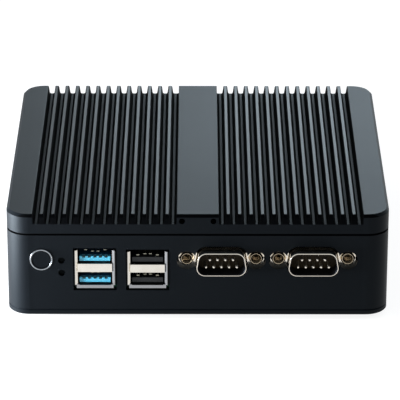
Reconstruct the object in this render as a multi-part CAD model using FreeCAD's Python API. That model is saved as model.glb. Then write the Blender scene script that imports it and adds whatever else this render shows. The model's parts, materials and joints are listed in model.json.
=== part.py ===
# Fanless industrial computer: a finned aluminium cover on a one-piece case frame,
# with the mainboard and its sockets inside.  Millimetres, +X right, +Y back, +Z up.
# The origin is on the surface that the feet stand on, below the middle of the case.
import FreeCAD, Part
import math
import os
from FreeCAD import Vector

# ---------------------------------------------------------------- driving dimensions
# Case
case_width = 138.0
case_depth = 130.0
corner_radius = 8.0
wall = 2.5
cover_thickness = 1.9
frame_height = 29.5
heatsink_height = 8.0
seam_chamfer = 0.3          # on the edges where the frame meets the two covers
fit_clearance = 0.05        # round parts in their holes
slot_clearance = 0.1        # board edges and tongues in their slots

# Feet
foot_height = 2.0
foot_radius = 6.0
foot_tip_radius = 5.2
foot_inset = 20.0           # centre from the sides of the case

# Finned cover
top_chamfer = 1.0
plateau_width = 15.1
groove_count = 13           # on each side of the plateau
groove_width = 2.7
groove_floor_width = 1.7
groove_depth = 3.6
groove_root_radius = 0.5
fin_width = 1.4
fin_edge_radius = 0.2
seam_height = 0.6           # shadow gap under the cover's edge
seam_depth = 0.8
lip_height = 1.5            # rib that finds the inside of the frame
lip_thickness = 1.5
lip_clearance = 0.15
screw_port_radius = 1.1
screw_port_spacing = 11.3
screw_port_rise = 1.15      # centre above the groove floor
screw_port_depth = 10.0

# Fasteners
screw_radius = 1.5
screw_head_radius = 2.75
screw_head_height = 1.8
drive_radius = 1.0
drive_depth = 1.0
countersink_radius = 2.9
countersink_height = 1.4
cover_screw_length = 5.0
board_screw_length = 5.0
boss_radius = 4.0
boss_height = 6.0
boss_web = 4.0
boss_overlap = 0.5          # how far a boss sinks into the wall
heatsink_screw_y = 35.0
heatsink_screw_reach = 3.4  # into the cover
screw_hole_spare = 0.3      # hole depth past the screw's end

# Threaded bushes for a wall bracket, under the case
bush_spacing = 75.0
bush_bore_radius = 1.65
bush_radius = 2.8
bush_flange_radius = 4.0
bush_height = 2.0

# Mainboard
board_rise = 10.5           # top face above the underside of the case
board_thickness = 1.6
board_gap = 1.0             # to the inside of the frame
board_corner_radius = 5.0
board_hole_inset = 5.0
board_hole_radius = 1.7

# Power button
button_x = -56.4
button_rise = 11.4          # above the mainboard's top face
button_ring_radius = 4.15
button_ring_width = 0.6
button_ring_proud = 0.5
button_ring_edge = 0.25
button_clearance = 0.15
button_proud = 0.15
button_edge = 0.25
button_flange_radius = 4.5
button_flange_thickness = 1.0
button_travel = 0.8
switch_size = 6.2
switch_thickness = 3.5
stem_radius = 1.75
stem_clearance = 0.1
stem_gap = 0.2              # left under the stem when it is pressed home
button_board_depth = 7.0    # front face of the board, behind the inside of the wall
button_board_gap = 2.0      # to the inside of the side wall
button_board_reach = 3.6    # past the middle of the lights
button_board_height = 17.0
button_notch_gap = 0.5      # round the head of the corner screw

# Status lights
light_x = -49.1
light_rises = (11.0, 6.1)
light_radius = 1.15
light_hole_radius = 1.25
light_recess = 1.0
light_collar_radius = 1.9
light_collar_length = 3.0

# Stacked sockets
stack_sheet = 0.4
stack_lip = 1.1             # sideways reach of the flared lips
stack_lip_depth = 0.5
stack_proud = 0.3
stack_top_setback = 2.6     # of the roof, behind the lips
stack_depth = 17.5
stack_opening_width = 12.5
stack_cutout_gap = 0.45
stack_cutout_drop = 0.8     # gap below the foot
stack_foot = 1.4            # below the lower opening
stack_foot_lift = 0.5       # lower edge of the bar on the foot
stack_foot_inset = 0.6      # ends of that bar, from the sides of the opening
tongue_width = 11.1
tongue_thickness = 1.8
tongue_rise = 0.6           # above the bottom of its opening
tongue_recess = 1.4
tongue_block = 5.0
blue_stack_x = -37.1
blue_opening_height = 5.2
blue_divider = 3.2
black_stack_x = -18.1
black_opening_height = 5.0
black_divider = 3.1
contact_height = 0.15
contact_width = 1.0
contact_end = 9.0           # from the tip of the tongue
contact_crest = 0.45        # radius of the raised end that meets the plug
contact_places = (-3.5, -1.0, 1.0, 3.5)
blue_contact_setbacks = (5.4, 4.2, 4.2, 5.4)    # from the tip of the tongue
black_contact_setbacks = (1.6, 2.6, 2.6, 1.6)
pad_width = 0.8
pad_length = 0.9
pad_setback = 0.6
pad_places = (-4.0, -2.0, 0.0, 2.0, 4.0)
notch_width = 1.15
notch_length = 1.6
notch_depth = 0.55

# D-shaped connectors: nine pins at the front, fifteen holes at the back
d_flange_width = 30.8
d_flange_height = 12.5
d_flange_thickness = 0.8
d_flange_corner = 1.2
d_shell_sheet = 0.5
d_proud = 4.05
d_corner_radius = 2.6
d_slant = 10.0
d_rim_edge = 0.2
d_cutout_gap = 0.9
d_flare_gap = 0.1           # between the flare at the shell's root and the cut-out
d_body_depth = 6.0
d_body_width = 19.0
d_body_height = 10.6
male_inner_width = 17.0
male_inner_height = 8.0
female_inner_width = 15.33
female_inner_height = 6.9
nut_spacing = 24.99
nut_across_flats = 5.0
nut_head = 1.0
nut_crown_radius = 2.0      # of the narrow ring between the chamfer and the countersink
nut_crown = 0.1
nut_barrel_radius = 2.0
nut_barrel_length = 3.0
nut_bore_radius = 1.25
nut_cutout_radius = 3.5
pin_radius = 0.5
pin_pitch = 2.77
pin_row_spacing = 2.84
pin_recess = 1.1
pin_tip = 0.35
pin_tip_radius = 0.3
pin_tail = 1.2
insulator_step = 0.6        # front face of the nine-pin insulator, ahead of the flange
serial_left_x = 8.56
serial_right_x = 41.67
serial_rise = 11.1
serial_board_height = 17.0
serial_board_lift = 2.0
card_socket_length = 40.0
card_socket_depth = 5.0
card_socket_height = 5.0

# Rear sockets
monitor_x = 19.5
monitor_rise = 6.6
monitor_hole_pitch = 2.29
monitor_row_spacing = 1.98
monitor_hole_radius = 0.5
monitor_hole_depth = 4.0
monitor_face_recess = 0.25
monitor_foot_depth = 9.0
video_x = -5.0
video_width = 14.4
video_height = 5.8
video_step = 2.0
video_sheet = 0.4
video_depth = 11.5
video_tongue_width = 11.4
video_tongue_thickness = 1.2
video_tongue_recess = 1.0
video_block = 3.5
network_places = (-23.0, -41.0)
network_width = 16.1
network_height = 13.4
network_depth = 21.3
network_sheet = 0.4
network_face_recess = 0.4
network_aperture_width = 11.9
network_aperture_height = 7.0
network_aperture_rise = 3.4
network_latch_width = 6.2
network_latch_height = 1.9
network_aperture_depth = 14.0
network_contact_pitch = 1.02
network_contact_count = 8
network_contact_width = 0.4
network_contact_drop = 2.2
network_contact_setback = 2.5
network_light_width = 3.0
network_light_height = 1.6
network_light_proud = 0.2
rear_proud = 0.3
rear_cutout_gap = 0.3
inlet_x = 43.0
inlet_width = 9.0
inlet_height = 11.0
inlet_depth = 12.0
inlet_rise = 6.5
inlet_barrel_radius = 4.1
inlet_bore_radius = 3.1
inlet_bore_depth = 9.5
inlet_pin_radius = 1.0
inlet_pin_recess = 1.0
plug_x = 56.0
plug_rise = 10.5
plug_radius = 3.25
plug_head_radius = 4.3
plug_head_height = 1.0
plug_length = 4.0

# Inside
processor_x = -4.0
processor_y = 2.0
processor_size = 25.0
processor_height = 1.3
pad_size = 28.0
pad_thickness = 0.8
spreader_width = 60.0
spreader_depth = 50.0
spreader_flange = 4.0
spreader_neck = 32.0
spreader_corner = 3.0
spreader_screw_spacing_x = 48.0
spreader_screw_spacing_y = 38.0
memory_width = 67.6
memory_length = 30.0
memory_y = -5.0
memory_drop = 3.4           # middle of the module below the mainboard
memory_sheet = 1.0
memory_chip = 1.2
memory_socket_height = 5.2
memory_socket_depth = 6.5
memory_arm = 2.4
memory_bite = 4.0           # how far the module reaches into its socket
memory_chip_count = 4
memory_chip_width = 11.0
memory_chip_length = 15.0
storage_x = 5.0
storage_inset = 22.5        # middle of the module from the back edge of the mainboard
storage_length = 50.8
storage_width = 29.85
storage_drop = 2.2
storage_sheet = 1.0
storage_chip = 1.1
storage_chips = ((11.0, 10.0), (25.0, 15.0))    # start and length of each chip
storage_chip_width = 15.0
storage_socket_height = 4.0
storage_socket_depth = 5.5
storage_bite = 2.5
storage_screw_radius = 1.0
storage_screw_head = 1.9
storage_screw_inset = 3.0
cell_x = 46.0
cell_y = -12.0
cell_radius = 10.0
cell_height = 3.2
holder_wall = 1.4
holder_floor = 1.2
holder_gate = 10.0          # width of the two gaps in the holder's rim
capacitor_radius = 3.15
capacitor_height = 6.0
capacitor_places = ((40.0, 28.0), (48.0, 28.0), (56.0, 28.0), (56.0, 20.0))
choke_size = 7.0
choke_height = 3.6
choke_places = ((40.0, 14.0), (50.0, 10.0), (-52.0, 20.0), (-52.0, 8.0))

# ---------------------------------------------------------------- levels and planes
underside = foot_height
frame_bottom = underside + cover_thickness
frame_top = frame_bottom + frame_height
case_top = frame_top + heatsink_height
groove_floor = case_top - groove_depth
board_top = underside + board_rise
board_bottom = board_top - board_thickness
front = -case_depth / 2
back = case_depth / 2
front_inner = front + wall
back_inner = back - wall
board_width = case_width - 2 * (wall + board_gap)
board_depth = case_depth - 2 * (wall + board_gap)
post_x = board_width / 2 - board_hole_inset
post_y = board_depth / 2 - board_hole_inset
storage_y = board_depth / 2 - storage_inset
heatsink_screw_x = case_width / 2 - wall - boss_radius + boss_overlap
serial_z = board_top + serial_rise
serial_board_front = front_inner + d_flange_thickness + d_body_depth
button_z = board_top + button_rise
button_board_front = front_inner + button_board_depth
processor_top = board_top + processor_height
past = 1.0                  # how far a cutter runs past the face that it opens

parts = {}


# ---------------------------------------------------------------- helpers
def box(x0, x1, y0, y1, z0, z1):
    return Part.makeBox(x1 - x0, y1 - y0, z1 - z0, Vector(x0, y0, z0))


def middle_box(x, width, y0, y1, z0, z1):
    """A box whose width is centred on x."""
    return box(x - width / 2, x + width / 2, y0, y1, z0, z1)


def upright(radius, x, y, z0, z1):
    return Part.makeCylinder(radius, z1 - z0, Vector(x, y, z0), Vector(0, 0, 1))


def level(radius, x, z, y0, y1):
    return Part.makeCylinder(radius, y1 - y0, Vector(x, y0, z), Vector(0, 1, 0))


def mirror_x(shape):
    return shape.mirror(Vector(0, 0, 0), Vector(1, 0, 0))


def mirror_y(shape):
    return shape.mirror(Vector(0, 0, 0), Vector(0, 1, 0))


def rounded_wire(points, radius):
    """A closed outline through the points, with a tangent arc at each corner."""
    edges = []
    starts = []
    ends = []
    for i, corner in enumerate(points):
        before = (points[i - 1] - corner).normalize()
        after = (points[(i + 1) % len(points)] - corner).normalize()
        half = before.getAngle(after) / 2
        trim = radius / math.tan(half)
        toward = (before + after).normalize()
        first = corner + before * trim
        last = corner + after * trim
        middle = corner + toward * (radius / math.sin(half) - radius)
        starts.append(first)
        ends.append(last)
        edges.append(Part.Arc(first, middle, last).toShape())
    sides = [Part.LineSegment(ends[i - 1], starts[i]).toShape() for i in range(len(points))]
    outline = [edge for pair in zip(sides, edges) for edge in pair]
    return Part.Wire(outline)


def prism(wire, direction):
    return Part.Face(wire).extrude(direction)


def polygon_prism(points, direction):
    return Part.Face(Part.makePolygon(points + [points[0]])).extrude(direction)


def rounded_block(width, depth, radius, z0, z1, x=0.0, y=0.0):
    corners = [
        Vector(x - width / 2, y - depth / 2, z0),
        Vector(x + width / 2, y - depth / 2, z0),
        Vector(x + width / 2, y + depth / 2, z0),
        Vector(x - width / 2, y + depth / 2, z0),
    ]
    return prism(rounded_wire(corners, radius), Vector(0, 0, z1 - z0))


def edges_at(shape, height):
    """The edges that lie wholly at one height."""
    found = []
    for edge in shape.Edges:
        bounds = edge.BoundBox
        if abs(bounds.ZMin - height) < 1e-6 and abs(bounds.ZMax - height) < 1e-6:
            found.append(edge)
    return found


def edges_across(shape, y):
    """The edges that lie wholly in one plane of constant y."""
    found = []
    for edge in shape.Edges:
        bounds = edge.BoundBox
        if abs(bounds.YMin - y) < 1e-6 and abs(bounds.YMax - y) < 1e-6:
            found.append(edge)
    return found


def four_corners(x, y):
    return [(sx * x, sy * y) for sx in (-1, 1) for sy in (-1, 1)]


def pan_screw(x, y, seat, length, direction):
    """A pan-head screw on its seat; direction is +1 where the shank points up."""
    shank = Part.makeCylinder(screw_radius, length, Vector(x, y, seat), Vector(0, 0, direction))
    top = Vector(x, y, seat - direction * screw_head_height)
    head = Part.makeCylinder(screw_head_radius, screw_head_height, top, Vector(0, 0, direction))
    drive = Part.makeCylinder(drive_radius, drive_depth, top, Vector(0, 0, direction))
    return shank.fuse(head).removeSplitter().cut(drive)


# ---------------------------------------------------------------- covers and frame
def long_edges_at(shape, height):
    return [edge for edge in edges_at(shape, height) if edge.Length > case_depth]


def groove_solid(left_wall, right_wall):
    """One groove at x = 0, as deep as the fins are high; a wall value is its foot's inset."""
    start = front - past
    half = groove_width / 2
    mouth = half + fin_edge_radius
    shoulder = case_top - fin_edge_radius
    bend = half + fin_edge_radius * (1 - math.sqrt(0.5))
    bend_z = shoulder + fin_edge_radius * math.sqrt(0.5)
    corners = [
        Vector(half, start, shoulder),
        Vector(half - right_wall, start, groove_floor),
        Vector(-half + left_wall, start, groove_floor),
        Vector(-half, start, shoulder),
    ]
    top = [
        Vector(-mouth, start, case_top),
        Vector(-mouth, start, case_top + past),
        Vector(mouth, start, case_top + past),
        Vector(mouth, start, case_top),
    ]
    left_edge = Part.Arc(corners[-1], Vector(-bend, start, bend_z), top[0]).toShape()
    right_edge = Part.Arc(top[-1], Vector(bend, start, bend_z), corners[0]).toShape()
    outline = Part.makePolygon(corners).Edges + [left_edge] + Part.makePolygon(top).Edges + [right_edge]
    cutter = prism(Part.Wire(outline), Vector(0, case_depth + 2 * past, 0))
    return cutter.makeFillet(groove_root_radius, long_edges_at(cutter, groove_floor))


def heatsink_cover():
    plate = rounded_block(case_width, case_depth, corner_radius, frame_top, case_top)
    plate = plate.makeChamfer(top_chamfer, edges_at(plate, case_top))
    rim = rounded_block(
        case_width + past, case_depth + past, corner_radius, frame_top - past, frame_top + seam_height)
    core = rounded_block(
        case_width - 2 * seam_depth, case_depth - 2 * seam_depth, corner_radius - seam_depth,
        frame_top - 2 * past, frame_top + 2 * seam_height,
    )
    plate = plate.cut(rim.cut(core))
    taper = (groove_width - groove_floor_width) / 2
    inner = groove_solid(0.0, taper)
    plain = groove_solid(taper, taper)
    pitch = groove_width + fin_width
    grooves = []
    for number in range(groove_count):
        groove = (plain if number else inner).copy()
        groove.translate(Vector(plateau_width / 2 + groove_width / 2 + number * pitch, 0, 0))
        grooves.append(groove)
        grooves.append(mirror_x(groove))
    port_z = groove_floor + screw_port_rise
    for side in (-1, 1):
        x = side * screw_port_spacing / 2
        grooves.append(level(screw_port_radius, x, port_z, front - past, front + screw_port_depth))
        grooves.append(level(screw_port_radius, x, port_z, back - screw_port_depth, back + past))
    for x, y in four_corners(heatsink_screw_x, heatsink_screw_y):
        grooves.append(cover_hole(x, y))
    for x, y in four_corners(spreader_screw_spacing_x / 2, spreader_screw_spacing_y / 2):
        grooves.append(cover_hole(processor_x + x, processor_y + y))
    plate = plate.cut(grooves)
    outside = wall + lip_clearance
    lip = rounded_block(
        case_width - 2 * outside, case_depth - 2 * outside, corner_radius - outside,
        frame_top - lip_height, frame_top,
    )
    outside += lip_thickness
    lip = lip.cut(rounded_block(
        case_width - 2 * outside, case_depth - 2 * outside, corner_radius - outside,
        frame_top - lip_height - past, frame_top + past,
    ))
    half = boss_radius + lip_clearance
    room = [
        box(x - half, x + half, y - half, y + half, frame_top - lip_height - past, frame_top)
        for x, y in four_corners(heatsink_screw_x, heatsink_screw_y)
    ]
    return plate.fuse(lip.cut(room)).removeSplitter()


def cover_hole(x, y):
    radius = screw_radius + fit_clearance
    return upright(radius, x, y, frame_top - past, frame_top + heatsink_screw_reach + screw_hole_spare)


def case_frame():
    shell = rounded_block(case_width, case_depth, corner_radius, frame_bottom, frame_top)
    shell = shell.makeChamfer(seam_chamfer, edges_at(shell, frame_bottom))
    inside = rounded_block(
        case_width - 2 * wall, case_depth - 2 * wall, corner_radius - wall,
        frame_bottom - past, frame_top + past,
    )
    shell = shell.cut(inside)
    added = []
    holes = []
    for x, y in four_corners(post_x, post_y):
        added.append(upright(boss_radius, x, y, frame_bottom, board_bottom))
        half = boss_web / 2
        outer = math.copysign(case_width / 2 - wall / 2, x)
        added.append(box(min(x, outer), max(x, outer), y - half, y + half, frame_bottom, board_bottom))
        outer = math.copysign(case_depth / 2 - wall / 2, y)
        added.append(box(x - half, x + half, min(y, outer), max(y, outer), frame_bottom, board_bottom))
        holes.append(upright(screw_radius + fit_clearance, x, y, frame_bottom - past, board_bottom + past))
    for x, y in four_corners(heatsink_screw_x, heatsink_screw_y):
        outer = math.copysign(case_width / 2 - wall / 2, x)
        added.append(upright(boss_radius, x, y, frame_top - boss_height, frame_top))
        added.append(box(
            min(x, outer), max(x, outer), y - boss_radius, y + boss_radius,
            frame_top - boss_height, frame_top,
        ))
        holes.append(upright(board_hole_radius, x, y, frame_top - boss_height - past, frame_top + past))
    frame = shell.fuse(added).removeSplitter()
    return frame.cut(holes + front_cutouts() + rear_cutouts())


def front_cutouts():
    start = front - past
    end = front_inner + past
    cuts = [
        level(button_ring_radius + fit_clearance, button_x, button_z, start, end),
        level(button_flange_radius + fit_clearance, button_x, button_z, front_inner, button_board_front),
    ]
    for rise in light_rises:
        cuts.append(level(light_hole_radius, light_x, board_top + rise, start, end))
    for x, opening, divider in stacks():
        half = stack_opening_width / 2 + stack_lip + stack_cutout_gap
        cuts.append(box(
            x - half, x + half, start, end,
            board_top - stack_cutout_drop, board_top + stack_height(opening, divider) + stack_cutout_gap,
        ))
    for x in (serial_left_x, serial_right_x):
        cuts.extend(d_cutouts(x, serial_z, male_inner_width, male_inner_height, -1))
    return cuts


def rear_cutouts():
    start = back_inner - past
    end = back + past
    gap = rear_cutout_gap
    cuts = []
    for cut in d_cutouts(monitor_x, board_top + monitor_rise, female_inner_width, female_inner_height, 1):
        cuts.append(mirror_y(cut))
    cuts.append(prism(video_outline(gap, start), Vector(0, end - start, 0)))
    for x in network_places:
        half = network_width / 2 + gap
        cuts.append(box(x - half, x + half, start, end, board_top - gap, board_top + network_height + gap))
    cuts.append(level(inlet_barrel_radius + gap, inlet_x, board_top + inlet_rise, start, end))
    for x in (-plug_x, plug_x):
        cuts.append(level(plug_radius + fit_clearance, x, board_top + plug_rise, start, end))
    return cuts


def bottom_cover():
    plate = rounded_block(case_width, case_depth, corner_radius, underside, frame_bottom)
    plate = plate.makeChamfer(seam_chamfer, edges_at(plate, frame_bottom))
    plate = plate.makeChamfer(seam_chamfer, edges_at(plate, underside))
    holes = []
    for x, y in four_corners(post_x, post_y):
        holes.append(upright(screw_radius + fit_clearance, x, y, underside - past, frame_bottom + past))
        holes.append(Part.makeCone(
            countersink_radius + fit_clearance, screw_radius + fit_clearance, countersink_height,
            Vector(x, y, underside),
        ))
    for x, y in four_corners(bush_spacing / 2, bush_spacing / 2):
        holes.append(upright(bush_radius, x, y, underside - past, frame_bottom + past))
    return plate.cut(holes)


def bottom_cover_screw(x, y):
    shank = upright(screw_radius, x, y, underside, underside + cover_screw_length)
    head = Part.makeCone(countersink_radius, screw_radius, countersink_height, Vector(x, y, underside))
    drive = upright(drive_radius, x, y, underside - past, underside + drive_depth)
    return shank.fuse(head).removeSplitter().cut(drive)


def bracket_bush(x, y):
    barrel = upright(bush_radius, x, y, underside, frame_bottom)
    flange = upright(bush_flange_radius, x, y, frame_bottom, frame_bottom + bush_height)
    bore = upright(bush_bore_radius, x, y, underside - past, frame_bottom + bush_height + past)
    return barrel.fuse(flange).removeSplitter().cut(bore)


def covers():
    parts["heatsink_cover"] = heatsink_cover()
    parts["case_frame"] = case_frame()
    parts["bottom_cover"] = bottom_cover()
    parts["bottom_cover_screws"] = Part.makeCompound(
        [bottom_cover_screw(x, y) for x, y in four_corners(post_x, post_y)])
    seat = frame_top - boss_height
    length = boss_height + heatsink_screw_reach
    parts["heatsink_cover_screws"] = Part.makeCompound(
        [pan_screw(x, y, seat, length, 1) for x, y in four_corners(heatsink_screw_x, heatsink_screw_y)])
    parts["bracket_bushes"] = Part.makeCompound(
        [bracket_bush(x, y) for x, y in four_corners(bush_spacing / 2, bush_spacing / 2)])
    foot_x = case_width / 2 - foot_inset
    foot_y = case_depth / 2 - foot_inset
    for end, y in (("front", -foot_y), ("rear", foot_y)):
        for side, x in (("left", -foot_x), ("right", foot_x)):
            parts["rubber_foot_" + end + "_" + side] = Part.makeCone(
                foot_tip_radius, foot_radius, foot_height, Vector(x, y, 0))


# ---------------------------------------------------------------- power button and lights
def power_button():
    ring_inner = button_ring_radius - button_ring_width
    ring = level(button_ring_radius, button_x, button_z, front - button_ring_proud, front_inner)
    ring = ring.cut(level(ring_inner, button_x, button_z, front - past, front_inner + past))
    ring_front = edges_across(ring, front - button_ring_proud)
    parts["power_button_ring"] = ring.makeFillet(button_ring_edge, ring_front)

    cap_front = front - button_proud
    flange_front = front_inner + fit_clearance
    flange_back = flange_front + button_flange_thickness
    head = level(ring_inner - button_clearance, button_x, button_z, cap_front, flange_front)
    head = head.makeFillet(button_edge, edges_across(head, cap_front))
    flange = level(button_flange_radius, button_x, button_z, flange_front, flange_back)
    parts["power_button_cap"] = head.fuse(flange).removeSplitter()

    switch_front = button_board_front - switch_thickness
    low = button_z - switch_size / 2
    bore_end = button_board_front - past
    body = middle_box(button_x, switch_size, switch_front, button_board_front, low, low + switch_size)
    bore = level(stem_radius + stem_clearance, button_x, button_z, switch_front - past, bore_end)
    parts["power_switch_body"] = body.cut(bore)
    stem_end = bore_end - button_travel - stem_gap
    parts["power_switch_stem"] = level(stem_radius, button_x, button_z, flange_back, stem_end)

    x0 = wall + button_board_gap - case_width / 2
    board = box(
        x0, light_x + button_board_reach, button_board_front, button_board_front + board_thickness,
        board_top, board_top + button_board_height,
    )
    notch = box(
        x0 - past, screw_head_radius + button_notch_gap - post_x,
        button_board_front - past, button_board_front + board_thickness + past,
        board_top - past, board_top + screw_head_height + button_notch_gap,
    )
    parts["button_board"] = board.cut(notch)


def status_light(rise):
    z = board_top + rise
    end = button_board_front
    pipe = level(light_radius, light_x, z, front + light_recess, end)
    collar = level(light_collar_radius, light_x, z, end - light_collar_length, end)
    return pipe.fuse(collar).removeSplitter()


# ---------------------------------------------------------------- stacked sockets
def stacks():
    return (
        (blue_stack_x, blue_opening_height, blue_divider),
        (black_stack_x, black_opening_height, black_divider),
    )


def stack_height(opening, divider):
    return stack_foot + 2 * opening + divider + stack_sheet


def stack_floors(opening, divider):
    lower = board_top + stack_foot
    return (lower, lower + opening + divider)


def stack_shell(x, opening, divider):
    """Folded metal shell with two openings and flared lips round its face."""
    face = front - stack_proud
    rear = face + stack_depth
    half = stack_opening_width / 2
    outside = half + stack_sheet
    top = board_top + stack_height(opening, divider)
    shell = box(x - outside, x + outside, face + stack_lip_depth, rear, board_top, top)
    floors = stack_floors(opening, divider)
    lip_top = floors[1] + opening
    side = [
        Vector(x - half, face + stack_lip_depth, floors[0]),
        Vector(x - half - stack_lip + stack_sheet, face, floors[0]),
        Vector(x - half - stack_lip, face, floors[0]),
        Vector(x - half - stack_lip, face + stack_sheet, floors[0]),
        Vector(x - outside, face + stack_lip_depth + stack_sheet, floors[0]),
        Vector(x - half, face + stack_lip_depth + stack_sheet, floors[0]),
    ]
    left = polygon_prism(side, Vector(0, 0, lip_top - floors[0]))
    right = left.mirror(Vector(x, 0, 0), Vector(1, 0, 0))
    bar_end = face + stack_lip_depth + past
    foot_width = stack_opening_width - 2 * stack_foot_inset
    foot = middle_box(x, foot_width, face, bar_end, board_top + stack_foot_lift, floors[0])
    bar = box(x - half, x + half, face, bar_end, floors[0] + opening, floors[1])
    shell = shell.fuse([left, right, foot, bar]).removeSplitter()
    roof_width = 2 * (outside + past)
    shell = shell.cut(middle_box(x, roof_width, face - past, face + stack_top_setback, lip_top, top + past))
    for floor in floors:
        shell = shell.cut(box(x - half, x + half, face - past, rear + past, floor, floor + opening))
    return shell


def stack_tongues(x, opening, divider, with_pads):
    """Plastic blocks with their tongues; pads lie in notches at the tips."""
    face = front - stack_proud
    rear = face + stack_depth
    tip = face + tongue_recess
    solids = []
    for floor in stack_floors(opening, divider):
        block = middle_box(x, stack_opening_width, rear - tongue_block, rear, floor, floor + opening)
        low = floor + tongue_rise
        high = low + tongue_thickness
        tongue = middle_box(x, tongue_width, tip, rear - tongue_block + past, low, high)
        tongue = block.fuse(tongue).removeSplitter()
        if with_pads:
            tongue = tongue.cut([
                middle_box(
                    x + place, notch_width, tip - past, tip + notch_length, high - notch_depth, high + past)
                for place in pad_places
            ])
        solids.append(tongue)
    return Part.makeCompound(solids)


def stack_contact(x, start, end, seat):
    """A flat spring whose front end is raised to meet the plug."""
    middle = start + contact_crest
    x0 = x - contact_width / 2
    first = Vector(x0, start, seat)
    last = Vector(x0, middle + contact_crest, seat)
    arc = Part.Arc(first, Vector(x0, middle, seat + contact_crest), last).toShape()
    chord = Part.LineSegment(last, first).toShape()
    crest = prism(Part.Wire([arc, chord]), Vector(contact_width, 0, 0))
    strip = middle_box(x, contact_width, middle, end, seat, seat + contact_height)
    return strip.fuse(crest).removeSplitter()


def stack_contacts(x, opening, divider, setbacks, with_pads):
    tip = front - stack_proud + tongue_recess
    solids = []
    for floor in stack_floors(opening, divider):
        seat = floor + tongue_rise + tongue_thickness
        for place, setback in zip(contact_places, setbacks):
            solids.append(stack_contact(x + place, tip + setback, tip + contact_end, seat))
        if with_pads:
            start = tip + pad_setback
            low = seat - notch_depth
            for place in pad_places:
                solids.append(middle_box(
                    x + place, pad_width, start, start + pad_length, low, low + contact_height))
    return Part.makeCompound(solids)


def stacked_sockets():
    both_setbacks = (blue_contact_setbacks, black_contact_setbacks)
    for colour, (x, opening, divider), setbacks in zip(("blue", "black"), stacks(), both_setbacks):
        blue = colour == "blue"
        parts[colour + "_socket_shell"] = stack_shell(x, opening, divider)
        parts[colour + "_socket_tongues"] = stack_tongues(x, opening, divider, blue)
        parts[colour + "_socket_contacts"] = stack_contacts(x, opening, divider, setbacks, blue)


# ---------------------------------------------------------------- D-shaped connectors
def d_outline(width, height, radius, x, y, z, wide_side):
    """D-shaped outline in a plane of constant y; wide_side is -1 for its wide edge below.

    The width is the clear width at the widest place, just above the rounded corners.
    """
    slant = math.radians(d_slant)
    width += 2 * radius * (math.tan(slant) + 1 / math.cos(slant) - 1)
    lean = height * math.tan(slant)
    wide = z + wide_side * height / 2
    narrow = z - wide_side * height / 2
    corners = [
        Vector(x - width / 2, y, wide),
        Vector(x + width / 2, y, wide),
        Vector(x + width / 2 - lean, y, narrow),
        Vector(x - width / 2 + lean, y, narrow),
    ]
    return rounded_wire(corners, radius)


def d_prism(width, height, grow, x, z, y0, y1, wide_side):
    outline = d_outline(width + 2 * grow, height + 2 * grow, d_corner_radius + grow, x, y0, z, wide_side)
    return prism(outline, Vector(0, y1 - y0, 0))


def d_cutouts(x, z, width, height, wide_side):
    """Openings in the front wall: the D and a round hole at each nut."""
    start = front - past
    end = front_inner + past
    cuts = [d_prism(width, height, d_shell_sheet + d_cutout_gap, x, z, start, end, wide_side)]
    for side in (-1, 1):
        cuts.append(level(nut_cutout_radius, x + side * nut_spacing / 2, z, start, end))
    return cuts


def d_shell(x, z, width, height, wide_side):
    """Drawn shell on its flange, standing out through the front wall."""
    rim = front - d_proud
    flange_back = front_inner + d_flange_thickness
    tube = d_prism(width, height, d_shell_sheet, x, z, rim, flange_back, wide_side)
    corners = [
        Vector(x - d_flange_width / 2, front_inner, z - d_flange_height / 2),
        Vector(x + d_flange_width / 2, front_inner, z - d_flange_height / 2),
        Vector(x + d_flange_width / 2, front_inner, z + d_flange_height / 2),
        Vector(x - d_flange_width / 2, front_inner, z + d_flange_height / 2),
    ]
    flange = prism(rounded_wire(corners, d_flange_corner), Vector(0, d_flange_thickness, 0))
    shell = tube.fuse(flange).removeSplitter()
    root = []
    for edge in shell.Edges:
        bounds = edge.BoundBox
        at_flange = abs(bounds.YMin - front_inner) < 1e-6 and abs(bounds.YMax - front_inner) < 1e-6
        in_tube = bounds.XMin > x - width / 2 - past and bounds.XMax < x + width / 2 + past
        inside = bounds.ZMin > z - height / 2 - past and bounds.ZMax < z + height / 2 + past
        if at_flange and in_tube and inside:
            root.append(edge)
    shell = shell.makeFillet(d_cutout_gap - d_flare_gap, root)
    bore = d_prism(width, height, 0, x, z, rim - past, flange_back + past, wide_side)
    holes = [bore]
    for side in (-1, 1):
        holes.append(level(
            nut_barrel_radius + fit_clearance, x + side * nut_spacing / 2, z,
            front_inner - past, flange_back + past,
        ))
    shell = shell.cut(holes)
    return shell.makeFillet(d_rim_edge, edges_across(shell, rim))


def d_nuts(x, z):
    """Hexagon nuts, chamfered outside and countersunk, so that a narrow crown is left."""
    solids = []
    face = front_inner - nut_head
    radius = nut_across_flats / math.sqrt(3)
    sink = nut_crown_radius - nut_crown
    for side in (-1, 1):
        centre = x + side * nut_spacing / 2
        middle = Vector(centre, face, z)
        corners = []
        for turn in range(6):
            angle = math.radians(60 * turn)
            corners.append(middle + Vector(radius * math.cos(angle), 0, radius * math.sin(angle)))
        head = polygon_prism(corners, Vector(0, nut_head, 0)).common(Part.makeCone(
            nut_crown_radius, nut_crown_radius + nut_head, nut_head, middle, Vector(0, 1, 0)))
        barrel_end = front_inner + d_flange_thickness + nut_barrel_length
        barrel = level(nut_barrel_radius, centre, z, front_inner, barrel_end)
        bore = level(nut_bore_radius, centre, z, face - past, barrel_end + past)
        countersink = Part.makeCone(sink, nut_bore_radius, sink - nut_bore_radius, middle, Vector(0, 1, 0))
        solids.append(head.fuse(barrel).removeSplitter().cut([bore, countersink]))
    return Part.makeCompound(solids)


def pin_places(x, z):
    """Nine places in two rows; the longer row is below."""
    places = [(x + (i - 1.5) * pin_pitch, z + pin_row_spacing / 2) for i in range(4)]
    return places + [(x + (i - 2) * pin_pitch, z - pin_row_spacing / 2) for i in range(5)]


def d_body(x, z, y0, y1):
    return middle_box(x, d_body_width, y0, y1, z - d_body_height / 2, z + d_body_height / 2)


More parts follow.
